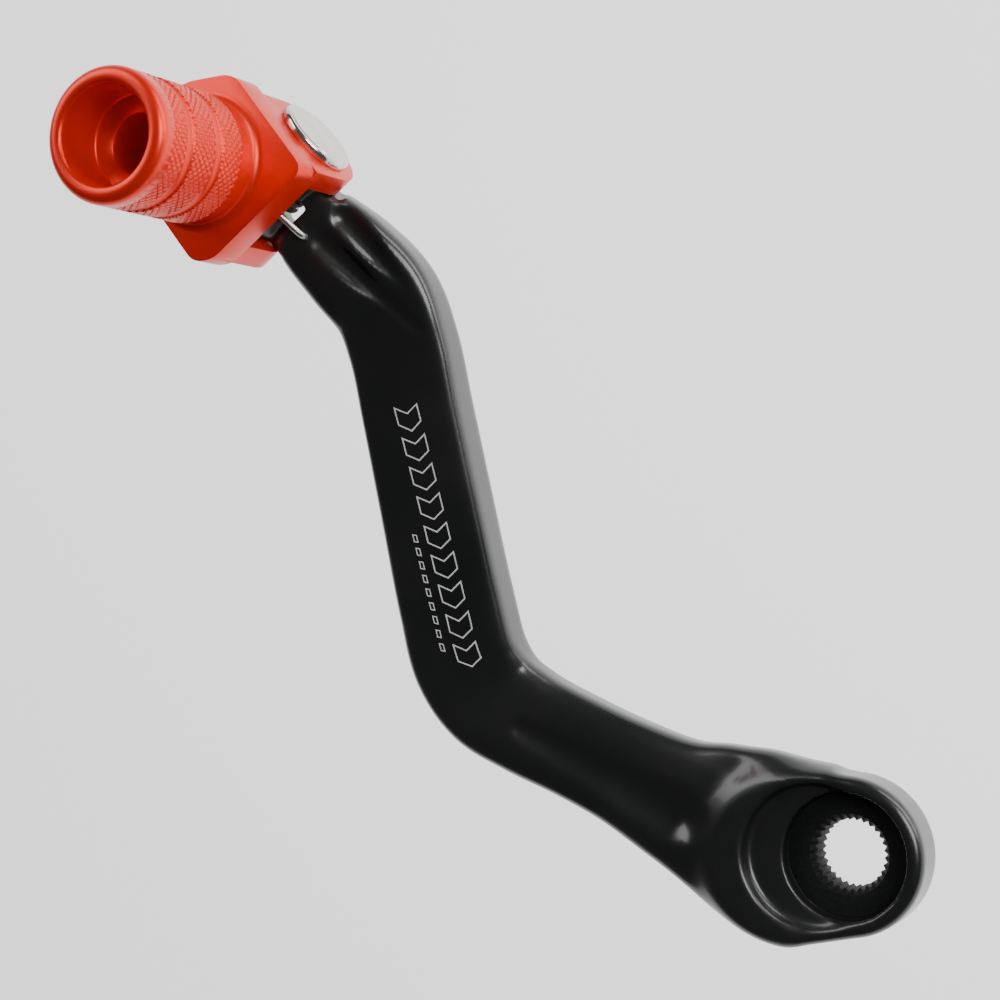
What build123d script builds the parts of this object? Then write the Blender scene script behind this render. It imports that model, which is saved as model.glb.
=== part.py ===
from build123d import *
import math
import os

# Motorcycle gear shift lever with a sprung folding tip. Millimetres.
# The origin is the centre of the splined bore, in the counterbore's floor. +Y runs along the
# bore to the outer side, +X from the bore towards the tip, +Z is square to both and is the
# direction of the tip's pivot.

# Splined boss.
SERRATIONS = 30
SERRATION_ROOT_R = 6.3
SERRATION_TIP_R = 5.72
LEAD_IN_R = 6.9
COUNTERBORE_R = 10.8
COUNTERBORE_DEPTH = 3.2
BOSS_BACK_Y = -6.3
BOSS_TOP_Y = 4.2
BOSS_R = 13.6
BOSS_HEEL_R = 14.3
BOSS_HEEL_X = 5.0
BOSS_HEEL_Z = -8.5
RECESS_X = 3.0
RECESS_Z = -4.0
RECESS_R = 12.2

# Forged arm: x, y, z of the centreline, width in the plane of the lever, thickness across it.
ARM_STATIONS = [
    (4.5, -1.2, -5.6, 29.0, 9.4),
    (13.3, -1.2, -12.2, 29.6, 9.4),
    (19.2, -1.2, -15.9, 26.4, 9.4),
    (25.1, -1.2, -19.5, 22.5, 9.6),
    (34.5, -0.9, -24.1, 19.5, 9.8),
    (43.0, -0.2, -28.4, 18.8, 10.0),
    (52.5, 0.7, -33.2, 19.4, 10.2),
    (60.0, 1.7, -35.6, 20.6, 10.4),
    (67.0, 3.3, -34.6, 21.0, 10.4),
    (76.0, 5.8, -29.6, 20.5, 10.2),
    (91.3, 9.8, -20.1, 19.7, 10.0),
    (105.3, 13.6, -11.3, 19.2, 10.0),
    (115.0, 16.4, -5.2, 19.2, 10.0),
    (122.5, 19.2, -1.8, 19.4, 10.4),
    (130.0, 22.2, -1.6, 19.0, 10.4),
    (136.8, 24.3, -2.2, 17.4, 8.4),
    (142.5, 26.3, -2.6, 14.6, 8.0),
]
ARM_CORNER = 3.4

# Pivot of the folding tip.
PIVOT_X = 149.0
PIVOT_Y = 30.0
PIN_R = 4.0
PIN_HEAD_R = 7.2
PIN_HEAD_T = 1.6
PIN_RUNNING_GAP = 0.05
KNUCKLE_R = 6.9
KNUCKLE_BOTTOM_Z = -9.95
KNUCKLE_TOP_Z = 4.75
EAR_FACE_GAP = 0.05
EAR_SWEEP_R = 10.7
EAR_T_UPPER = 3.7
EAR_T_LOWER = 4.2
EAR_R = 9.3
SCREW_R = 2.5
SCREW_HEAD_R = 5.6
SCREW_HEAD_T = 1.5
SCREW_HEX_R = 1.7

# Torsion spring, seated in a neck turned on the knuckle's top.
WIRE_R = 0.62
COIL_R = 6.1
COIL_PITCH = 1.36
LEG_ANGLE = 125.0
COIL_TURNS = 1 + (LEG_ANGLE + 180.0) / 360.0
NECK_R = 5.2
NECK_FLOOR_Z = -4.4
NECK_CEILING_Z = -0.3
COIL_BOTTOM_Z = NECK_FLOOR_Z + WIRE_R + 0.1
ARM_LEG = 9.6
HOOK_DEPTH = 2.9
HOOK_R = 1.6
TIP_LEG = 9.0

# Folding tip: flange plate and hollow barrel.
FLANGE_BACK_Y = 37.3
FLANGE_FRONT_Y = 43.8
BARREL_X = 153.9
BARREL_Z = -5.2
BARREL_END_Y = 72.5
BARREL_R = 11.2
KNURL_R = 11.1
GROOVE_R = 10.85
GROOVE_W = 1.5
GROOVE_YS = (64.0, 55.7)
BARREL_BORE_R = 8.2
BARREL_BORE_DEPTH = 9.9
INNER_BORE_R = 5.05
INNER_BORE_DEPTH = 20.0
LIP_CHAMFER = 1.3
NECK_BARREL_R = 10.5
NECK_HIGH_Y = 48.6
FLARE_R = 1.6
FLANGE_CHAMFER = 0.5

UPPER_EAR_FACE_Z = KNUCKLE_TOP_Z + EAR_FACE_GAP
LOWER_EAR_FACE_Z = KNUCKLE_BOTTOM_Z - EAR_FACE_GAP
TIP_TOP_Z = UPPER_EAR_FACE_Z + EAR_T_UPPER
EAR_BOTTOM_Z = LOWER_EAR_FACE_Z - EAR_T_LOWER
FLANGE_BOTTOM_Z = -17.4


def cylinder_y(radius, y_low, y_high, x=0.0, z=0.0):
    """A cylinder along Y between two heights."""
    plane = Plane(origin=(x, y_low, z), z_dir=(0, 1, 0))
    return extrude(plane * Circle(radius), y_high - y_low)


def cylinder_z(radius, z_low, z_high, x=PIVOT_X, y=PIVOT_Y):
    """A cylinder along Z between two heights, on the pivot unless told otherwise."""
    plane = Plane(origin=(x, y, z_low))
    return extrude(plane * Circle(radius), z_high - z_low)


def station_plane(index):
    """The plane square to the arm's centreline at one station."""
    before = Vector(*ARM_STATIONS[max(index - 1, 0)][:3])
    after = Vector(*ARM_STATIONS[min(index + 1, len(ARM_STATIONS) - 1)][:3])
    along = (after - before).normalized()
    across = (Vector(0, 1, 0) - along * along.Y).normalized()
    return Plane(origin=ARM_STATIONS[index][:3], x_dir=along.cross(across), z_dir=along)


def arm_beam():
    """The forged beam from the boss to the knuckle."""
    sections = []
    for index, station in enumerate(ARM_STATIONS):
        width = station[3]
        thickness = station[4]
        corner = min(ARM_CORNER, 0.45 * thickness)
        sections.append(station_plane(index) * RectangleRounded(width, thickness, corner))
    return loft(sections)


def boss_blank():
    """The egg-shaped boss: two round lobes and the web between them."""
    upper = cylinder_y(BOSS_R, BOSS_BACK_Y, BOSS_TOP_Y)
    heel = cylinder_y(BOSS_HEEL_R, BOSS_BACK_Y, BOSS_TOP_Y, BOSS_HEEL_X, BOSS_HEEL_Z)
    reach = math.hypot(BOSS_HEEL_X, BOSS_HEEL_Z)
    turn = math.degrees(math.atan2(BOSS_HEEL_Z, BOSS_HEEL_X))
    web = Pos(0, (BOSS_BACK_Y + BOSS_TOP_Y) / 2, 0) * Rot(0, -turn, 0) * Pos(reach / 2, 0, 0) * Box(
        reach, BOSS_TOP_Y - BOSS_BACK_Y, 2 * BOSS_R
    )
    blank = upper + heel + web
    return blank


def serration_cutter():
    """Star-shaped prism that cuts the serrations."""
    points = []
    for tooth in range(SERRATIONS):
        for step, radius in ((0.0, SERRATION_TIP_R), (0.5, SERRATION_ROOT_R)):
            angle = 2 * math.pi * (tooth + step) / SERRATIONS
            points.append((radius * math.cos(angle), radius * math.sin(angle)))
    plane = Plane(origin=(0, BOSS_BACK_Y - 1, 0), z_dir=(0, 1, 0))
    return extrude(plane * Polygon(*points, align=None), 2 - BOSS_BACK_Y)


def leg_tip():
    """Where the spring's long leg turns down into the arm: x and y."""
    start = math.radians(LEG_ANGLE)
    x = PIVOT_X + COIL_R * math.cos(start) - ARM_LEG * math.sin(start)
    y = PIVOT_Y + COIL_R * math.sin(start) + ARM_LEG * math.cos(start)
    return x, y


def lever_arm():
    """Forged arm with its splined boss and the knuckle of the folding tip."""
    knuckle = cylinder_z(KNUCKLE_R, KNUCKLE_BOTTOM_Z, KNUCKLE_TOP_Z)
    arm = boss_blank() + arm_beam() + knuckle
    spring_room = cylinder_z(KNUCKLE_R + 1.2, NECK_FLOOR_Z, NECK_CEILING_Z)
    spring_room -= cylinder_z(NECK_R, NECK_FLOOR_Z - 1, NECK_CEILING_Z + 1)
    arm -= spring_room
    # Clearance the folding ears sweep above and below the knuckle.
    arm -= cylinder_z(EAR_SWEEP_R, KNUCKLE_TOP_Z, KNUCKLE_TOP_Z + 12)
    arm -= cylinder_z(EAR_SWEEP_R, KNUCKLE_BOTTOM_Z - 12, KNUCKLE_BOTTOM_Z)
    arm -= cylinder_z(PIN_R + PIN_RUNNING_GAP, KNUCKLE_BOTTOM_Z - 1, KNUCKLE_TOP_Z + 1)
    # Blind hole for the spring's hooked leg.
    hook_x, hook_y = leg_tip()
    arm -= cylinder_y(WIRE_R + 0.12, hook_y - HOOK_DEPTH - 0.4, hook_y + 3, hook_x, COIL_BOTTOM_Z)
    arm -= cylinder_y(RECESS_R, COUNTERBORE_DEPTH, BOSS_TOP_Y + 3, RECESS_X, RECESS_Z)
    arm -= cylinder_y(COUNTERBORE_R, 0, BOSS_TOP_Y + 3)
    arm -= serration_cutter()
    lead = Plane(origin=(0, -LEAD_IN_R + SERRATION_TIP_R, 0), z_dir=(0, 1, 0))
    mouth = Plane(origin=(0, 0, 0), z_dir=(0, 1, 0))
    arm -= loft([lead * Circle(SERRATION_TIP_R), mouth * Circle(LEAD_IN_R)])
    return arm


def flange_plate():
    """Faceted plate between the barrel and the two ears."""
    left = PIVOT_X - EAR_R - 0.2
    outline = [
        (left, TIP_TOP_Z),
        (161.5, TIP_TOP_Z),
        (167.0, 0.5),
        (168.0, -5.2),
        (166.5, -10.5),
        (161.0, FLANGE_BOTTOM_Z),
        (141.8, FLANGE_BOTTOM_Z),
        (left, FLANGE_BOTTOM_Z + 3.2),
    ]
    plane = Plane(origin=(0, FLANGE_BACK_Y, 0), x_dir=(1, 0, 0), z_dir=(0, -1, 0))
    face = plane * Polygon(*outline, align=None)
    plate = extrude(face, FLANGE_FRONT_Y - FLANGE_BACK_Y, dir=(0, 1, 0))
    return chamfer(plate.edges().group_by(Axis.Y)[-1], FLANGE_CHAMFER)


def ear(z_low, z_high):
    """One clevis ear: a tongue with a round end about the pivot."""
    length = FLANGE_BACK_Y + 1 - PIVOT_Y
    tongue = Pos(PIVOT_X, PIVOT_Y + length / 2, (z_low + z_high) / 2) * Box(
        2 * EAR_R, length, z_high - z_low
    )
    return tongue + cylinder_z(EAR_R, z_low, z_high)


def barrel():
    """Hollow foot peg of the tip, with a flare where it meets the plate."""
    half_groove = GROOVE_W / 2
    depth = BARREL_R - GROOVE_R
    profile = [(0, FLANGE_FRONT_Y - 1), (NECK_BARREL_R + FLARE_R, FLANGE_FRONT_Y - 1)]
    for step in range(7):
        angle = math.radians(90 * step / 6)
        radius = NECK_BARREL_R + FLARE_R * (1 - math.sin(angle))
        profile.append((radius, FLANGE_FRONT_Y + FLARE_R * (1 - math.cos(angle))))
    profile.append((NECK_BARREL_R, NECK_HIGH_Y))
    profile.append((BARREL_R, NECK_HIGH_Y + BARREL_R - NECK_BARREL_R))
    for y in sorted(GROOVE_YS):
        profile.append((BARREL_R, y - half_groove - depth))
        profile.append((GROOVE_R, y - half_groove))
        profile.append((GROOVE_R, y + half_groove))
        profile.append((BARREL_R, y + half_groove + depth))
    profile.append((BARREL_R, BARREL_END_Y - 0.9))
    profile.append((BARREL_R - 0.9, BARREL_END_Y))
    profile.append((0, BARREL_END_Y))
    face = Polygon(*profile, align=None)
    body = revolve(face, Axis.Y, 360)
    return Pos(BARREL_X, 0, BARREL_Z) * body


def tip_body():
    """Folding tip, machined in one piece."""
    tip = flange_plate()
    tip += ear(UPPER_EAR_FACE_Z, TIP_TOP_Z)
    tip += ear(EAR_BOTTOM_Z, LOWER_EAR_FACE_Z)
    tip += barrel()
    bore_floor = BARREL_END_Y - BARREL_BORE_DEPTH
    tip -= cylinder_y(BARREL_BORE_R, bore_floor, BARREL_END_Y + 1, BARREL_X, BARREL_Z)
    tip -= cylinder_y(INNER_BORE_R, BARREL_END_Y - INNER_BORE_DEPTH, BARREL_END_Y, BARREL_X, BARREL_Z)
    lip_low = Plane(origin=(BARREL_X, BARREL_END_Y - LIP_CHAMFER, BARREL_Z), z_dir=(0, 1, 0))
    lip_high = Plane(origin=(BARREL_X, BARREL_END_Y, BARREL_Z), z_dir=(0, 1, 0))
    tip -= loft([lip_low * Circle(BARREL_BORE_R), lip_high * Circle(BARREL_BORE_R + LIP_CHAMFER)])
    tip -= cylinder_z(PIN_R, EAR_BOTTOM_Z - 4, TIP_TOP_Z + 1)
    # Slot in the plate's back for the spring's straight leg.
    slot_z = COIL_BOTTOM_Z + COIL_PITCH * COIL_TURNS
    tip -= Pos(PIVOT_X - COIL_R, FLANGE_BACK_Y + 1.0, slot_z) * Box(1.8, 4.4, 2.2)
    return tip


def pivot_pin():
    """Hollow-ended pin with a wide flat head on the upper ear."""
    head = cylinder_z(PIN_HEAD_R, TIP_TOP_Z, TIP_TOP_Z + PIN_HEAD_T)
    head = chamfer(head.edges().group_by(Axis.Z)[-1], 0.35)
    pin = head + cylinder_z(PIN_R, EAR_BOTTOM_Z + 0.3, TIP_TOP_Z)
    return pin - cylinder_z(SCREW_R, EAR_BOTTOM_Z, EAR_BOTTOM_Z + 12)


def pivot_screw():
    """Button screw that closes the pin from below the lower ear."""
    head = cylinder_z(SCREW_HEAD_R, EAR_BOTTOM_Z - SCREW_HEAD_T, EAR_BOTTOM_Z)
    head = fillet(head.edges().group_by(Axis.Z)[0], 1.0)
    screw = head + cylinder_z(SCREW_R, EAR_BOTTOM_Z, EAR_BOTTOM_Z + 10)
    socket = Plane(origin=(PIVOT_X, PIVOT_Y, EAR_BOTTOM_Z - SCREW_HEAD_T))
    return screw - extrude(socket * RegularPolygon(SCREW_HEX_R, 6), 1.9)


def torsion_spring():
    """Torsion spring: a hooked leg in the arm, the coil, and a straight leg in the plate."""
    low = COIL_BOTTOM_Z
    start = math.radians(LEG_ANGLE)
    tip_x, tip_y = leg_tip()
    along_x = math.sin(start)
    along_y = -math.cos(start)
    turn = math.pi / 2 - math.atan2(along_y, along_x)
    tangent = HOOK_R * math.tan(turn / 2)
    points = [
        (tip_x, tip_y - HOOK_DEPTH, low),
        (tip_x, tip_y - (HOOK_DEPTH + tangent) / 2, low),
    ]
    for step in range(5):
        angle = math.pi - turn * step / 4
        x = tip_x + HOOK_R * (1 + math.cos(angle))
        points.append((x, tip_y - tangent + HOOK_R * math.sin(angle), low))
    for step in range(1, 6):
        reach = tangent + (ARM_LEG - tangent) * step / 6
        points.append((tip_x + reach * along_x, tip_y + reach * along_y, low))
    steps = round(16 * COIL_TURNS)
    for step in range(steps + 1):
        angle = start - 2 * math.pi * COIL_TURNS * step / steps
        z = low + COIL_PITCH * COIL_TURNS * step / steps
        points.append((PIVOT_X + COIL_R * math.cos(angle), PIVOT_Y + COIL_R * math.sin(angle), z))
    for step in range(1, 4):
        points.append((PIVOT_X - COIL_R, PIVOT_Y + TIP_LEG * step / 3, z))
    path = Spline(*points)
    section = Plane(origin=path @ 0, z_dir=path % 0) * Circle(WIRE_R)
    return sweep(section, path=path)


def save(name, solid):
    """Write one node."""
    solid.label = name
    export_step(solid, os.path.join("parts", name + ".step"))


os.makedirs("parts", exist_ok=True)
save("lever_arm", lever_arm())
save("tip_body", tip_body())
save("pivot_pin", pivot_pin())
save("pivot_screw", pivot_screw())
save("torsion_spring", torsion_spring())
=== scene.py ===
import math

import bmesh
import bpy
import numpy as np
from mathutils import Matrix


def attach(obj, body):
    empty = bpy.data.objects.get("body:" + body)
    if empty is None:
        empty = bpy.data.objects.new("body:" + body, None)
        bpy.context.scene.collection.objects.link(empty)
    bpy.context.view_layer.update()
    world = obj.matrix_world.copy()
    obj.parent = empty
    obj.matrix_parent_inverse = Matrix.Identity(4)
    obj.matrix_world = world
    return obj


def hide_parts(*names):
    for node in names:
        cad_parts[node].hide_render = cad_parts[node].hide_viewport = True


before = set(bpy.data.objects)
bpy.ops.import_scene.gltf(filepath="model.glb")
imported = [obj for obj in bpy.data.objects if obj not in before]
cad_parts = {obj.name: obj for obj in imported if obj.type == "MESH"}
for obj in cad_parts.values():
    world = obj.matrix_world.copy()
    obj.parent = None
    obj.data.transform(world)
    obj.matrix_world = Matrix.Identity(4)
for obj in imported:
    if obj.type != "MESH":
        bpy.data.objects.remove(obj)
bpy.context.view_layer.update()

import openvdb as vdb
from mathutils import Matrix, Vector
from mathutils.bvhtree import BVHTree

MM = 0.001

# The same driving sizes as the CAD model, in millimetres.
BOSS_BACK_Y = -6.3
BOSS_TOP_Y = 4.2
ELBOW_LOW_Z = -45.8
BOSS_R = 13.6
BOSS_HEEL_R = 14.3
BOSS_HEEL = (5.0, -8.5)
RECESS = (3.0, -4.0)
RECESS_R = 12.2
COUNTERBORE_R = 10.8
COUNTERBORE_DEPTH = 3.2
LEAD_IN_R = 6.9
SERRATIONS = 30
SERRATION_ROOT_R = 6.3
SERRATION_TIP_R = 5.72
PIVOT = (149.0, 30.0)
KNUCKLE_R = 6.9
KNUCKLE_Z = (-9.95, 4.75)
NECK_R = 5.2
NECK_FLOOR_Z = -4.4
NECK_CEILING_Z = -0.3
EAR_SWEEP_R = 10.7
PIN_HOLE_R = 4.05
EAR_R = 9.3
EAR_TOP_Z = 8.5
EAR_BOTTOM_Z = -14.2
EAR_GAP_Z = (-10.0, 4.8)
FLANGE_Y = (37.3, 43.8)
FLANGE_BOTTOM_Z = -17.4
BARREL_AXIS = (153.9, -5.2)
BARREL_END_Y = 72.5
BARREL_R = 11.2
GROOVE_YS = (55.7, 64.0)

# x, y, z of the arm's centreline, width, thickness, and how square its section is.
ARM_STATIONS = [
    (4.5, -1.2, -5.6, 29.0, 9.4, 3.2),
    (13.3, -1.2, -12.2, 29.6, 9.4, 3.2),
    (19.2, -1.2, -15.9, 26.4, 9.4, 3.2),
    (25.1, -1.2, -19.5, 22.5, 9.6, 3.2),
    (34.5, -0.9, -24.1, 19.5, 9.8, 3.4),
    (43.0, -0.2, -28.4, 18.8, 10.0, 3.6),
    (52.5, 0.7, -33.2, 19.4, 10.2, 3.8),
    (60.0, 1.7, -35.6, 20.6, 10.4, 4.2),
    (67.0, 3.3, -34.6, 21.0, 10.4, 4.8),
    (76.0, 5.8, -29.6, 20.5, 10.2, 5.5),
    (91.3, 9.8, -20.1, 19.7, 10.0, 6.0),
    (105.3, 13.6, -11.3, 19.2, 10.0, 6.0),
    (115.0, 16.4, -5.2, 19.2, 10.0, 5.4),
    (122.5, 19.2, -1.8, 19.4, 10.4, 4.4),
    (130.0, 22.2, -1.6, 19.0, 10.4, 3.8),
    (136.8, 24.3, -2.2, 17.4, 8.4, 3.4),
    (142.5, 26.3, -2.6, 14.6, 8.0, 3.4),
]


# ---------------------------------------------------------------- mesh helpers


def mesh_object(name, points_mm, faces, body, slot, material, smooth=True):
    """A mesh piece from points in millimetres, riding on a body."""
    mesh = bpy.data.meshes.new(name)
    mesh.from_pydata([tuple(p) for p in np.asarray(points_mm, float) * MM], [], faces)
    mesh.validate()
    mesh.update()
    for polygon in mesh.polygons:
        polygon.use_smooth = smooth
    piece = bpy.data.objects.new(name, mesh)
    bpy.context.scene.collection.objects.link(piece)
    piece.data.materials.append(material)
    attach(piece, body)
    return piece


def apply_modifiers(piece):
    """Bakes the piece's modifiers into its mesh."""
    bpy.context.view_layer.update()
    graph = bpy.context.evaluated_depsgraph_get()
    mesh = bpy.data.meshes.new_from_object(piece.evaluated_get(graph))
    piece.modifiers.clear()
    piece.data = mesh


def recalculate(piece):
    """Turns all faces of a closed piece outwards."""
    bm = bmesh.new()
    bm.from_mesh(piece.data)
    bmesh.ops.recalc_face_normals(bm, faces=bm.faces)
    bm.to_mesh(piece.data)
    bm.free()


def sharpen(piece, degrees):
    """Smooth shading that breaks at edges sharper than the angle."""
    piece.data.set_sharp_from_angle(angle=math.radians(degrees))


def rings_to_faces(count, around, closed=False):
    """Quads between rings of equal point count; closed joins the last ring to the first."""
    faces = []
    rows = count if closed else count - 1
    for i in range(rows):
        low = i * around
        high = ((i + 1) % count) * around
        for j in range(around):
            k = (j + 1) % around
            faces.append((low + j, low + k, high + k, high + j))
    return faces


# ---------------------------------------------------------------- materials


def node_material(name):
    """An empty node material with its principled shader."""
    material = bpy.data.materials.new(name)
    material.use_nodes = True
    tree = material.node_tree
    shader = tree.nodes["Principled BSDF"]
    return material, tree, shader


def noise(tree, scale, detail=3.0, rough=0.5):
    """A noise texture in object space."""
    coords = tree.nodes.new("ShaderNodeTexCoord")
    texture = tree.nodes.new("ShaderNodeTexNoise")
    texture.inputs["Scale"].default_value = scale
    texture.inputs["Detail"].default_value = detail
    texture.inputs["Roughness"].default_value = rough
    tree.links.new(coords.outputs["Object"], texture.inputs["Vector"])
    return texture


def map_range(tree, source, low, high):
    """Remaps a noise output to a narrow band."""
    node = tree.nodes.new("ShaderNodeMapRange")
    node.inputs["From Min"].default_value = 0.3
    node.inputs["From Max"].default_value = 0.7
    node.inputs["To Min"].default_value = low
    node.inputs["To Max"].default_value = high
    tree.links.new(source, node.inputs["Value"])
    return node.outputs["Result"]


def mix_colors(tree, factor, first, second):
    """Blends two colours by a factor output."""
    node = tree.nodes.new("ShaderNodeMix")
    node.data_type = "RGBA"
    tree.links.new(factor, node.inputs[0])
    node.inputs[6].default_value = (*first, 1)
    node.inputs[7].default_value = (*second, 1)
    return node.outputs[2]


def add_bump(tree, shader, height, strength, distance):
    """Bump from a height output."""
    bump = tree.nodes.new("ShaderNodeBump")
    bump.inputs["Strength"].default_value = strength
    bump.inputs["Distance"].default_value = distance
    tree.links.new(height, bump.inputs["Height"])
    tree.links.new(bump.outputs["Normal"], shader.inputs["Normal"])


def black_forging():
    """Gloss black anodised forging."""
    material, tree, shader = node_material("black_forging")
    cloud = noise(tree, 60.0, 4.0)
    grain = noise(tree, 2600.0, 2.0)
    blend = map_range(tree, cloud.outputs["Fac"], 0, 1)
    color = mix_colors(tree, blend, (0.006, 0.0072, 0.0068), (0.011, 0.012, 0.0115))
    tree.links.new(color, shader.inputs["Base Color"])
    tree.links.new(map_range(tree, cloud.outputs["Fac"], 0.24, 0.34), shader.inputs["Roughness"])
    shader.inputs["Specular IOR Level"].default_value = 0.62
    shader.inputs["Coat Weight"].default_value = 0.25
    shader.inputs["Coat Roughness"].default_value = 0.12
    add_bump(tree, shader, grain.outputs["Fac"], 0.12, 0.00004)
    return material


def black_seat():
    """Duller black of the machined seat and serrations."""
    material, tree, shader = node_material("black_seat")
    grain = noise(tree, 1800.0, 3.0)
    blend = map_range(tree, grain.outputs["Fac"], 0, 1)
    color = mix_colors(tree, blend, (0.004, 0.0046, 0.0044), (0.008, 0.009, 0.0086))
    tree.links.new(color, shader.inputs["Base Color"])
    tree.links.new(map_range(tree, grain.outputs["Fac"], 0.5, 0.62), shader.inputs["Roughness"])
    shader.inputs["Specular IOR Level"].default_value = 0.2
    return material


def orange_anodised():
    """Satin orange-red anodising."""
    material, tree, shader = node_material("orange_anodised")
    cloud = noise(tree, 90.0, 4.0)
    grain = noise(tree, 5200.0, 2.0)
    blend = map_range(tree, cloud.outputs["Fac"], 0, 1)
    color = mix_colors(tree, blend, (0.74, 0.014, 0.0004), (0.84, 0.022, 0.0008))
    tree.links.new(color, shader.inputs["Base Color"])
    tree.links.new(map_range(tree, grain.outputs["Fac"], 0.28, 0.40), shader.inputs["Roughness"])
    shader.inputs["Metallic"].default_value = 0.45
    add_bump(tree, shader, grain.outputs["Fac"], 0.18, 0.00003)
    return material


def bright_metal(name, color, low, high):
    """A bare or plated metal with its roughness between two values."""
    material, tree, shader = node_material(name)
    cloud = noise(tree, 300.0, 4.0)
    blend = map_range(tree, cloud.outputs["Fac"], 0, 1)
    tint = mix_colors(tree, blend, color, tuple(c * 0.86 for c in color))
    tree.links.new(tint, shader.inputs["Base Color"])
    tree.links.new(map_range(tree, cloud.outputs["Fac"], low, high), shader.inputs["Roughness"])
    shader.inputs["Metallic"].default_value = 1.0
    add_bump(tree, shader, cloud.outputs["Fac"], 0.06, 0.00005)
    return material


def etched_mark():
    """Pale etched surface of the motif."""
    material, tree, shader = node_material("etched_mark")
    grain = noise(tree, 4000.0, 2.0)
    color = mix_colors(tree, map_range(tree, grain.outputs["Fac"], 0, 1), (0.72, 0.73, 0.73), (0.9, 0.9, 0.9))
    tree.links.new(color, shader.inputs["Base Color"])
    shader.inputs["Roughness"].default_value = 0.55
    return material


BLACK = black_forging()
SEAT = black_seat()
ORANGE = orange_anodised()
NICKEL = bright_metal("nickel_plate", (0.74, 0.70, 0.67), 0.10, 0.22)
PLATED = bright_metal("plated_screw", (0.5, 0.5, 0.5), 0.25, 0.4)
WIRE = bright_metal("drawn_wire", (0.58, 0.57, 0.54), 0.2, 0.34)
ETCH = etched_mark()


# ---------------------------------------------------------------- forged arm

VOXEL = 0.42
BAND = 12
GRID_LOW = np.array([-16.0, -8.5, -49.0])
GRID_HIGH = np.array([158.0, 38.5, 16.0])


def spline_stations(step=1.0):
    """The arm's stations, resampled along a smooth curve through them."""
    data = np.array(ARM_STATIONS)
    lengths = np.linalg.norm(np.diff(data[:, :3], axis=0), axis=1)
    knots = np.concatenate([[0], np.cumsum(np.sqrt(lengths))])
    slopes = np.gradient(data, knots, axis=0)
    rows = []
    for i in range(len(data) - 1):
        span = knots[i + 1] - knots[i]
        count = max(2, int(round(lengths[i] / step)))
        for t in np.arange(count) / count:
            h00 = 2 * t**3 - 3 * t**2 + 1
            h10 = t**3 - 2 * t**2 + t
            h01 = -2 * t**3 + 3 * t**2
            h11 = t**3 - t**2
            row = h00 * data[i] + h10 * span * slopes[i]
            rows.append(row + h01 * data[i + 1] + h11 * span * slopes[i + 1])
    rows.append(data[-1])
    return np.array(rows)


def arm_frames(rows):
    """Unit vectors along, across (towards +Y) and up for each row."""
    along = np.gradient(rows[:, :3], axis=0)
    along /= np.linalg.norm(along, axis=1)[:, None]
    across = np.array([0, 1.0, 0]) - along * along[:, 1:2]
    across /= np.linalg.norm(across, axis=1)[:, None]
    return along, across, np.cross(along, across)


def beam_level_set(transform):
    """The beam as a narrow-band level set."""
    rows = spline_stations()
    along, across, up = arm_frames(rows)
    around = 96
    angle = np.linspace(0, 2 * math.pi, around, endpoint=False)
    cos, sin = np.cos(angle), np.sin(angle)
    points = []
    for row, out, side in zip(rows, across, up):
        power = 2 / row[5]
        u = np.sign(cos) * np.abs(cos) ** power * row[3] / 2
        v = np.sign(sin) * np.abs(sin) ** power * row[4] / 2
        points.append(row[:3] + u[:, None] * side + v[:, None] * out)
    points = np.concatenate(points)
    quads = rings_to_faces(len(rows), around)
    first = len(points)
    points = np.vstack([points, rows[0, :3], rows[-1, :3]])
    last_ring = (len(rows) - 1) * around
    triangles = []
    for j in range(around):
        k = (j + 1) % around
        triangles.append((first, k, j))
        triangles.append((first + 1, last_ring + j, last_ring + k))
    return vdb.FloatGrid.createLevelSetFromPolygons(
        points.astype(np.float32),
        triangles=np.array(triangles, np.uint32),
        quads=np.array(quads, np.uint32),
        transform=transform,
        halfWidth=float(BAND),
    )


def smooth_union(a, b, k):
    """Union of two distances with a fillet of about k."""
    h = np.clip(0.5 + 0.5 * (b - a) / k, 0, 1)
    return b * (1 - h) + a * h - k * h * (1 - h)


def smooth_cut(a, b, k):
    """a without b, with a rounded edge."""
    return -smooth_union(-a, b, k)


def rounded_slab(flat, level, low, high, r):
    """Extrusion of a flat distance between two levels, with rounded rims."""
    middle = (low + high) / 2
    d = flat + r
    e = np.abs(level - middle) - (high - low) / 2 + r
    outside = np.sqrt(np.maximum(d, 0) ** 2 + np.maximum(e, 0) ** 2)
    return outside + np.minimum(np.maximum(d, e), 0) - r


def cone_capsule(x, y, z, a, b, ra, rb):
    """Distance to a tapered capsule from a to b."""
    a, b = np.array(a, float), np.array(b, float)
    d = b - a
    t = ((x - a[0]) * d[0] + (y - a[1]) * d[1] + (z - a[2]) * d[2]) / (d @ d)
    t = np.clip(t, 0, 1)
    distance = np.sqrt((x - a[0] - t * d[0]) ** 2 + (y - a[1] - t * d[1]) ** 2 + (z - a[2] - t * d[2]) ** 2)
    return distance - (ra + (rb - ra) * t)


def boss_outline(x, z):
    """Flat distance to the egg-shaped outline of the boss."""
    hx, hz = BOSS_HEEL
    t = np.clip((x * hx + z * hz) / (hx * hx + hz * hz), 0, 1)
    return np.sqrt((x - t * hx) ** 2 + (z - t * hz) ** 2) - (BOSS_R + (BOSS_HEEL_R - BOSS_R) * t)


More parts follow.
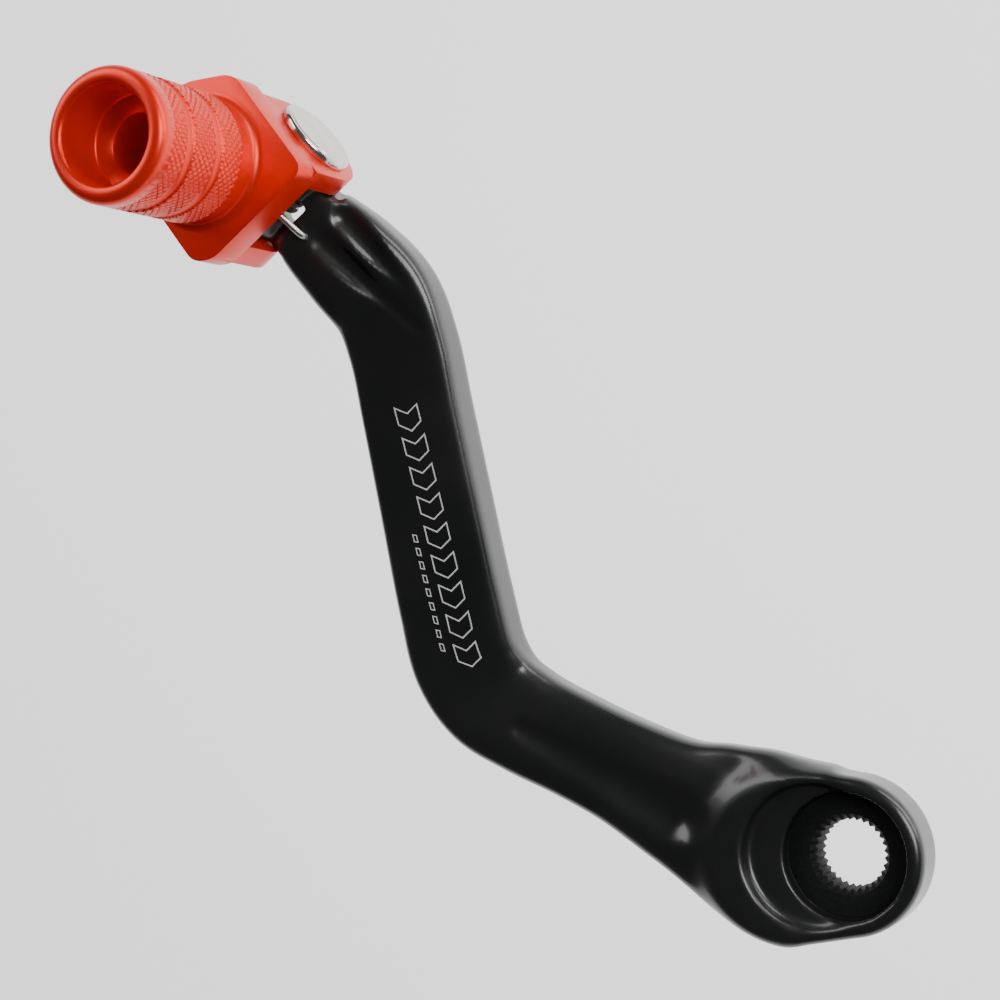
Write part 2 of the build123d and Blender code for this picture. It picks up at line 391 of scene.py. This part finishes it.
def arm_piece():
    """The forged arm, blended from its beam, boss and knuckle and then carved."""
    transform = vdb.createLinearTransform(voxelSize=VOXEL)
    low = np.floor(GRID_LOW / VOXEL).astype(int)
    high = np.ceil(GRID_HIGH / VOXEL).astype(int)
    field = np.zeros(tuple(high - low), np.float32)
    beam_level_set(transform).copyToArray(field, ijk=tuple(int(v) for v in low))
    axes = [(np.arange(low[i], high[i]) * VOXEL).astype(np.float32) for i in range(3)]
    x, y, z = np.meshgrid(*axes, indexing="ij", sparse=True)

    boss = rounded_slab(boss_outline(x, z), y, BOSS_BACK_Y, BOSS_TOP_Y, 2.0)
    field = smooth_union(field, boss, 5.0)
    px, py = PIVOT
    knuckle = rounded_slab(np.sqrt((x - px) ** 2 + (y - py) ** 2) - KNUCKLE_R, z, *KNUCKLE_Z, 0.5)
    field = smooth_union(field, knuckle, 2.0)

    # Carved flutes: one along the lower segment, a scoop by the boss, two by the knuckle.
    field = smooth_cut(field, cone_capsule(x, y, z, (51, 6.6, -33.4), (23.0, 8.3, -20.2), 1.5, 6.6), 1.6)
    field = smooth_cut(field, cone_capsule(x, y, z, (39.5, 7.4, -17.2), (24.0, 6.9, -5.4), 2.6, 3.9), 1.6)
    field = smooth_cut(field, cone_capsule(x, y, z, (135.2, 29.5, 4.2), (120.5, 25.0, 4.2), 2.9, 0.9), 0.7)
    field = smooth_cut(field, cone_capsule(x, y, z, (134.5, 30.0, -1.8), (113.5, 22.6, 0.6), 2.9, 0.9), 0.9)

    # Recess and counterbore of the boss, with the seat for the serrated ring.
    rx, rz = RECESS
    recess = rounded_slab(np.sqrt((x - rx) ** 2 + (z - rz) ** 2) - RECESS_R, y, 2.7, 20.0, 1.5)
    field = smooth_cut(field, recess, 1.3)
    axis = np.sqrt(x**2 + z**2)
    field = smooth_cut(field, np.maximum(axis - COUNTERBORE_R, -0.05 - y), 0.35)
    field = np.maximum(field, -(axis - (COUNTERBORE_R - 0.6)))

    # Space round the knuckle for the ears and the spring, and the pin's hole.
    pivot = np.sqrt((x - px) ** 2 + (y - py) ** 2)
    above = np.maximum(pivot - EAR_SWEEP_R, KNUCKLE_Z[1] - z)
    below = np.maximum(pivot - EAR_SWEEP_R, z - KNUCKLE_Z[0])
    slot = np.maximum(NECK_FLOOR_Z - z, z - NECK_CEILING_Z)
    room = np.maximum(np.maximum(pivot - KNUCKLE_R - 1.2, slot), NECK_R - pivot)
    for cut in (above, below, room):
        field = smooth_cut(field, cut, 0.4)
    field = np.maximum(field, PIN_HOLE_R - pivot)

    # The blends may not bulge past the boss's flat back or the elbow's lowest line.
    field = np.maximum(field, BOSS_BACK_Y + 0.02 - y)
    field = np.maximum(field, ELBOW_LOW_Z - z)

    grid = vdb.FloatGrid(BAND * VOXEL)
    grid.copyFromArray(np.ascontiguousarray(field, np.float32), ijk=tuple(int(v) for v in low))
    grid.transform = transform
    points, quads = grid.convertToQuads(0.0)
    piece = mesh_object("lever_arm_forging", points, quads.tolist(), "lever", "arm_black", BLACK)
    relax = piece.modifiers.new("relax", "SMOOTH")
    relax.factor = 0.5
    relax.iterations = 4
    apply_modifiers(piece)
    recalculate(piece)
    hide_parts("lever_arm")
    return piece


def serrated_ring():
    """The machined seat: counterbore floor, lead-in chamfer and serrations."""
    per_tooth = 8
    around = SERRATIONS * per_tooth
    depth = SERRATION_ROOT_R - SERRATION_TIP_R
    rings = []

    def ring(radius, y, serration=0.0):
        points = []
        for i in range(around):
            angle = 2 * math.pi * i / around
            phase = abs((i % per_tooth) / per_tooth - 0.5) * 2
            r = radius + serration * depth * (1 - phase) if serration else radius
            points.append((r * math.cos(angle), y, r * math.sin(angle)))
        rings.append(points)

    outer = COUNTERBORE_R - 0.3
    ring(outer, BOSS_BACK_Y + 0.02)
    ring(outer, -0.02)
    ring(LEAD_IN_R + 0.9, 0.0)
    ring(LEAD_IN_R, -0.12)
    ring(SERRATION_TIP_R + 0.12, -1.15, 0.85)
    ring(SERRATION_TIP_R, -1.3, 1.0)
    ring(SERRATION_TIP_R, BOSS_BACK_Y + 0.2, 1.0)
    ring(SERRATION_ROOT_R + 0.15, BOSS_BACK_Y + 0.02)
    points = [p for r in rings for p in r]
    faces = rings_to_faces(len(rings), around, closed=True)
    piece = mesh_object("serrated_seat", points, faces, "lever", "arm_black", SEAT)
    recalculate(piece)
    sharpen(piece, 32)
    return piece


arm = arm_piece()
serrated_ring()


# ---------------------------------------------------------------- etched motif


def ribbons(tree):
    """Thin outline chevrons and dashes laid on the arm's outer face."""
    rows = spline_stations()
    _, across, _ = arm_frames(rows)
    start = np.array([109.6, 0, -8.0])
    end = np.array([66.2, 0, -32.6])
    axis = (end - start) / np.linalg.norm(end - start)
    side = np.array([axis[2], 0, -axis[0]])
    if side[2] < 0:
        side = -side
    length = np.linalg.norm(end - start)
    points, faces = [], []

    def lay(a, b):
        """Drops a flat point onto the face."""
        p = start + axis * a + side * b
        nearest = np.argmin(np.linalg.norm(rows[:, [0, 2]] - p[[0, 2]], axis=1))
        out = across[nearest]
        p = p + out * ((rows[nearest, 1] + 14 - p[1]) / out[1])
        hit = tree.ray_cast(Vector(p * MM), Vector(-out), 0.03)
        return np.array(hit[0] + hit[1] * 0.00004) / MM

    def outline(corners, width):
        """A closed ribbon round a polygon, split into short runs."""
        corners = np.array(corners, float)
        centre = corners.mean(axis=0)
        inner = []
        n = len(corners)
        for i in range(n):
            before = corners[i] - corners[i - 1]
            after = corners[(i + 1) % n] - corners[i]
            nb = np.array([-before[1], before[0]]) / np.linalg.norm(before)
            na = np.array([-after[1], after[0]]) / np.linalg.norm(after)
            bis = nb + na
            bis /= max(bis @ na, 0.3)
            inner.append(corners[i] + bis * width)
        for i in range(n):
            k = (i + 1) % n
            runs = max(1, int(np.linalg.norm(corners[k] - corners[i]) / 1.0))
            for r in range(runs):
                base = len(points)
                for t in (r / runs, (r + 1) / runs):
                    points.append(lay(*(corners[i] * (1 - t) + corners[k] * t)))
                    points.append(lay(*(inner[i] * (1 - t) + inner[k] * t)))
                faces.append((base, base + 2, base + 3, base + 1))

    count = 9
    pitch = length / count
    bar, half, lean = pitch * 0.62, 2.35, 1.5
    for i in range(count):
        a = i * pitch
        back = [(a, half), (a + lean, 0)]
        outline([(a, -half), (a + bar, -half), (a + bar + lean, 0), (a + bar, half)] + back, 0.26)
    for i in range(9):
        a = length * 0.47 + i * 2.55
        low, high = -half - 2.6, -half - 1.7
        outline([(a, low), (a + 1.5, low), (a + 1.8, high), (a + 0.3, high)], 0.2)
    return points, faces


surface = bmesh.new()
surface.from_mesh(arm.data)
arm_tree = BVHTree.FromBMesh(surface)
surface.free()
mark_points, mark_faces = ribbons(arm_tree)
mesh_object("etched_chevrons", mark_points, mark_faces, "lever", "arm_black", ETCH, smooth=False)


# ---------------------------------------------------------------- folding tip


def prism(outline, low, high, axis):
    """A closed prism of an outline between two levels along Y or Z, in millimetres."""
    n = len(outline)
    points = []
    for level in (low, high):
        for a, b in outline:
            points.append((a, level, b) if axis == "y" else (a, b, level))
    faces = [tuple(range(n)), tuple(range(2 * n - 1, n - 1, -1))]
    for i in range(n):
        k = (i + 1) % n
        faces.append((i, i + n, k + n, k))
    return points, faces


def ear_outline():
    """Tongue with a round end about the pivot, from above."""
    px, py = PIVOT
    points = [(px + EAR_R, FLANGE_Y[0] + 1.5)]
    for i in range(33):
        angle = math.radians(-180 * i / 32)
        points.append((px + EAR_R * math.cos(angle), py + EAR_R * math.sin(angle)))
    points.append((px - EAR_R, FLANGE_Y[0] + 1.5))
    return points


def rounded(corners, radius):
    """A polygon's corners replaced by short curves."""
    corners = [np.array(c, float) for c in corners]
    points = []
    for i, corner in enumerate(corners):
        before = corners[i - 1] - corner
        after = corners[(i + 1) % len(corners)] - corner
        room = min(radius, 0.45 * np.linalg.norm(before), 0.45 * np.linalg.norm(after))
        first = corner + before / np.linalg.norm(before) * room
        last = corner + after / np.linalg.norm(after) * room
        for t in np.linspace(0, 1, 7):
            points.append(tuple(first * (1 - t) ** 2 + 2 * corner * t * (1 - t) + last * t**2))
    return points


def flange_outline():
    """Corners of the faceted plate, seen along the peg."""
    left = PIVOT[0] - EAR_R - 0.2
    return [
        (left, EAR_TOP_Z),
        (161.5, EAR_TOP_Z),
        (167.0, 0.5),
        (168.0, -5.2),
        (166.5, -10.5),
        (161.0, FLANGE_BOTTOM_Z),
        (141.8, FLANGE_BOTTOM_Z),
        (left, FLANGE_BOTTOM_Z + 3.2),
    ]


def polygon_about_pivot(radius, count):
    """Corners of a regular polygon round the pivot, from above."""
    corners = []
    for i in range(count):
        angle = 2 * math.pi * i / count
        corners.append((PIVOT[0] + radius * math.cos(angle), PIVOT[1] + radius * math.sin(angle)))
    return corners


def boolean(target, cutter, operation):
    """Joins or cuts one piece with another and removes the other."""
    modifier = target.modifiers.new("boolean", "BOOLEAN")
    modifier.operation = operation
    modifier.solver = "EXACT"
    modifier.object = cutter
    apply_modifiers(target)
    bpy.data.objects.remove(cutter)


def clevis_piece():
    """Flange plate and both ears, with softened edges."""
    plate = prism(rounded(flange_outline(), 2.4), *FLANGE_Y, "y")
    clevis = mesh_object("tip_clevis", *plate, "folding_tip", "tip_anodised", ORANGE)
    recalculate(clevis)
    for low, high in ((EAR_GAP_Z[1], EAR_TOP_Z), (EAR_BOTTOM_Z, EAR_GAP_Z[0])):
        ear = mesh_object("ear", *prism(ear_outline(), low, high, "z"), "folding_tip", "tip_anodised", ORANGE)
        recalculate(ear)
        boolean(clevis, ear, "UNION")
    hole = polygon_about_pivot(4.0, 64)
    cutter = mesh_object("pin_hole", *prism(hole, -30, 20, "z"), "folding_tip", "tip_anodised", ORANGE)
    recalculate(cutter)
    boolean(clevis, cutter, "DIFFERENCE")
    bevel = clevis.modifiers.new("bevel", "BEVEL")
    bevel.width = 0.55 * MM
    bevel.segments = 3
    bevel.limit_method = "ANGLE"
    bevel.angle_limit = math.radians(28)
    apply_modifiers(clevis)
    for polygon in clevis.data.polygons:
        polygon.use_smooth = True
    sharpen(clevis, 24)
    return clevis


def knurl_depth(angle, y):
    """Depth of the crossed knurl cuts at one point of the barrel, 0 between cuts."""
    cuts = 50
    slope = cuts / (2 * math.pi * BARREL_R)
    turns = angle * cuts / (2 * math.pi)
    depth = 0.0
    for sign in (1, -1):
        phase = (turns + sign * y * slope * 0.95) % 1.0
        depth = max(depth, 1 - abs(phase - 0.5) / 0.15)
    return max(depth, 0.0)


def barrel_piece():
    """Hollow foot peg: lip, bore with its step, smooth collar, knurled bands and flare."""
    around = 460
    profile = []

    def add(radius, y, knurl=0.0):
        profile.append((radius, y, knurl))

    end = BARREL_END_Y
    floor = end - 9.9
    add(0.05, end - 20.0)
    add(5.0, end - 20.0)
    add(5.05, end - 19.8)
    add(5.05, floor - 0.5)
    add(5.35, floor - 0.1)
    add(7.7, floor + 0.55)
    add(8.05, floor + 0.7)
    add(8.2, floor + 1.0)
    add(8.25, end - 0.75)
    add(8.3, end - 0.5)
    add(8.62, end - 0.12)
    add(8.8, end - 0.02)
    add(9.5, end)
    for i in range(1, 9):
        angle = math.radians(90 * i / 8)
        add(9.5 + 1.7 * math.sin(angle), end - 1.7 * (1 - math.cos(angle)))
    add(11.2, end - 3.7)
    step = 0.16
    y = end - 3.85
    while y > 49.3:
        near = min(abs(y - g) for g in GROOVE_YS)
        if near < 1.15:
            dip = 0.42 * (1 - (near / 1.15) ** 2) ** 0.5
            add(11.05 - dip, y)
        else:
            add(11.2, y, 1.0)
        y -= step
    add(11.2, 49.1)
    add(10.9, 48.7)
    add(10.55, 48.3)
    add(10.5, 47.8)
    add(10.5, 45.4)
    for i in range(1, 9):
        angle = math.radians(90 * i / 8)
        add(10.5 + 1.6 * (1 - math.cos(angle)), 45.4 - 1.6 * math.sin(angle))
    add(12.1, 43.0)
    add(0.05, 43.0)
    ax, az = BARREL_AXIS
    points = []
    for radius, y, knurl in profile:
        for i in range(around):
            angle = 2 * math.pi * i / around
            r = radius - (0.26 * knurl_depth(angle, y) if knurl else 0)
            points.append((ax + r * math.cos(angle), y, az + r * math.sin(angle)))
    faces = rings_to_faces(len(profile), around, closed=True)
    piece = mesh_object("tip_barrel", points, faces, "folding_tip", "tip_anodised", ORANGE)
    recalculate(piece)
    sharpen(piece, 50)
    return piece


clevis = clevis_piece()
barrel_piece()
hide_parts("tip_body")


# ---------------------------------------------------------------- pin, screw and spring


def lathe(name, profile, body, slot, material, around=128, angle=30):
    """A turned piece about the pivot from (radius, z) points; the profile is a closed loop."""
    px, py = PIVOT
    points = []
    for radius, z in profile:
        for i in range(around):
            a = 2 * math.pi * i / around
            points.append((px + radius * math.cos(a), py + radius * math.sin(a), z))
    piece = mesh_object(name, points, rings_to_faces(len(profile), around, closed=True), body, slot, material)
    recalculate(piece)
    sharpen(piece, angle)
    return piece


def pin_piece():
    """Pivot pin with its stepped disc head."""
    top = EAR_TOP_Z + 1.6
    profile = [(0.02, top - 0.02), (5.9, top), (6.3, top), (6.42, top - 0.03), (6.5, top - 0.12)]
    profile += [(6.75, top - 0.16), (6.95, top - 0.22), (7.12, top - 0.42), (7.2, top - 0.7)]
    profile += [(7.2, EAR_TOP_Z + 0.25), (7.05, EAR_TOP_Z), (4.0, EAR_TOP_Z - 0.02)]
    profile += [(4.0, EAR_BOTTOM_Z + 0.3), (0.02, EAR_BOTTOM_Z + 0.3)]
    pin = lathe("pivot_pin_disc", profile, "folding_tip", "pin_steel", NICKEL)
    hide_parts("pivot_pin")


def screw_piece():
    """Button head of the screw below the lower ear, with its hexagon socket."""
    low = EAR_BOTTOM_Z - 1.5
    profile = [(0.02, EAR_BOTTOM_Z + 0.25), (2.5, EAR_BOTTOM_Z + 0.25), (5.6, EAR_BOTTOM_Z)]
    profile += [(5.6, EAR_BOTTOM_Z - 0.5), (5.3, low + 0.35), (4.7, low + 0.06)]
    profile += [(4.2, low), (2.3, low), (0.02, low)]
    screw = lathe("pivot_screw_head", profile, "folding_tip", "screw_steel", PLATED)
    hexagon = polygon_about_pivot(1.9, 6)
    socket = prism(hexagon, low - 1, low + 1.1, "z")
    cutter = mesh_object("hex", *socket, "folding_tip", "screw_steel", PLATED)
    recalculate(cutter)
    boolean(screw, cutter, "DIFFERENCE")
    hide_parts("pivot_screw")


def spring_piece():
    """Wire spring swept round its path, with flat-capped ends."""
    px, py = PIVOT
    wire, coil, pitch = 0.62, 6.1, 1.36
    leg_degrees, leg, hook = 125, 9.6, 2.9
    leg_angle = math.radians(leg_degrees)
    turns = 1 + (leg_degrees + 180) / 360
    low = NECK_FLOOR_Z + wire + 0.1
    sx, sy = px + coil * math.cos(leg_angle), py + coil * math.sin(leg_angle)
    dx, dy = -math.sin(leg_angle), math.cos(leg_angle)
    tip = (sx + leg * dx, sy + leg * dy)
    path = [(tip[0], tip[1] - t, low) for t in np.linspace(hook, 1.2, 5)]
    corner, bend = np.array(tip), 1.2
    for t in np.linspace(0, 1, 9)[1:-1]:
        a0 = corner + np.array([0, -bend])
        a1 = corner - np.array([dx, dy]) * bend
        mid = a0 * (1 - t) ** 2 + 2 * corner * t * (1 - t) + a1 * t**2
        path.append((mid[0], mid[1], low))
    path += [(sx + t * dx, sy + t * dy, low) for t in np.linspace(leg - bend, 0.8, 9)]
    steps = 90
    for i in range(steps + 1):
        a = leg_angle - 2 * math.pi * turns * i / steps
        path.append((px + coil * math.cos(a), py + coil * math.sin(a), low + pitch * turns * i / steps))
    top = path[-1][2]
    path += [(px - coil, py + t, top) for t in np.linspace(0.8, 8.0, 8)]
    path = np.array(path)
    tangent = np.gradient(path, axis=0)
    tangent /= np.linalg.norm(tangent, axis=1)[:, None]
    upward = np.array([0, 0, 1.0])
    points = []
    around = 20
    for p, t in zip(path, tangent):
        side = np.cross(t, upward)
        side /= np.linalg.norm(side)
        over = np.cross(side, t)
        for j in range(around):
            a = 2 * math.pi * j / around
            points.append(p + wire * (math.cos(a) * side + math.sin(a) * over))
    faces = rings_to_faces(len(path), around)
    faces.append(tuple(range(around)))
    faces.append(tuple(range(len(points) - around, len(points))))
    spring = mesh_object("spring_wire", points, faces, "lever", "spring_steel", WIRE)
    recalculate(spring)
    sharpen(spring, 50)
    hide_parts("torsion_spring")


pin_piece()
screw_piece()
spring_piece()


# ---------------------------------------------------------------- stage, light, camera


def floor():
    """Wide pale sheet behind the lever."""
    size = 6000
    points = [(-size, -320, -size), (size, -320, -size), (size, -320, size), (-size, -320, size)]
    mesh = bpy.data.meshes.new("floor")
    mesh.from_pydata([tuple(c * MM for c in p) for p in points], [], [(0, 1, 2, 3)])
    plane = bpy.data.objects.new("floor", mesh)
    bpy.context.scene.collection.objects.link(plane)
    material, tree, shader = node_material("pale_floor")
    shader.inputs["Base Color"].default_value = (0.95, 0.95, 0.95, 1)
    shader.inputs["Roughness"].default_value = 0.9
    shader.inputs["Emission Color"].default_value = (1, 1, 1, 1)
    shader.inputs["Emission Strength"].default_value = 1.2
    plane.data.materials.append(material)


def area_light(name, place_mm, aim_mm, size_mm, power, color=(1, 1, 1)):
    """A rectangular lamp that faces a point."""
    data = bpy.data.lights.new(name, "AREA")
    data.shape = "RECTANGLE"
    data.size, data.size_y = size_mm[0] * MM, size_mm[1] * MM
    data.energy = power
    data.color = color
    lamp = bpy.data.objects.new(name, data)
    bpy.context.scene.collection.objects.link(lamp)
    place, aim = Vector(place_mm) * MM, Vector(aim_mm) * MM
    lamp.location = place
    lamp.rotation_euler = (aim - place).to_track_quat("-Z", "Y").to_euler()


CAMERA_PLACE = (-23.04, 359.76, 116.67)
CAMERA_RIGHT = (-0.56308, -0.42803, 0.70692)
CAMERA_DOWN = (-0.77863, -0.01185, -0.62737)
CAMERA_LENS = 79.32


def camera():
    """Camera at the photograph's angle."""
    right = Vector(CAMERA_RIGHT).normalized()
    up = -Vector(CAMERA_DOWN).normalized()
    back = right.cross(up).normalized()
    up = back.cross(right)
    data = bpy.data.cameras.new("camera")
    data.sensor_width = 36
    data.lens = CAMERA_LENS
    data.clip_start = 0.01
    view = bpy.data.objects.new("camera", data)
    bpy.context.scene.collection.objects.link(view)
    turn = Matrix((right, up, back)).transposed()
    view.matrix_world = Matrix.Translation(Vector(CAMERA_PLACE) * MM) @ turn.to_4x4()
    bpy.context.scene.camera = view


floor()
area_light("key", (-120, 460, 520), (90, 10, -10), (420, 300), 3.4)
area_light("fill", (520, 330, -60), (110, 10, -10), (300, 420), 1.5)
area_light("rim", (60, 60, 520), (80, 10, -10), (600, 160), 1.8)
world = bpy.data.worlds.new("world")
world.use_nodes = True
world.node_tree.nodes["Background"].inputs["Color"].default_value = (1, 1, 1, 1)
world.node_tree.nodes["Background"].inputs["Strength"].default_value = 0.09
bpy.context.scene.world = world
camera()
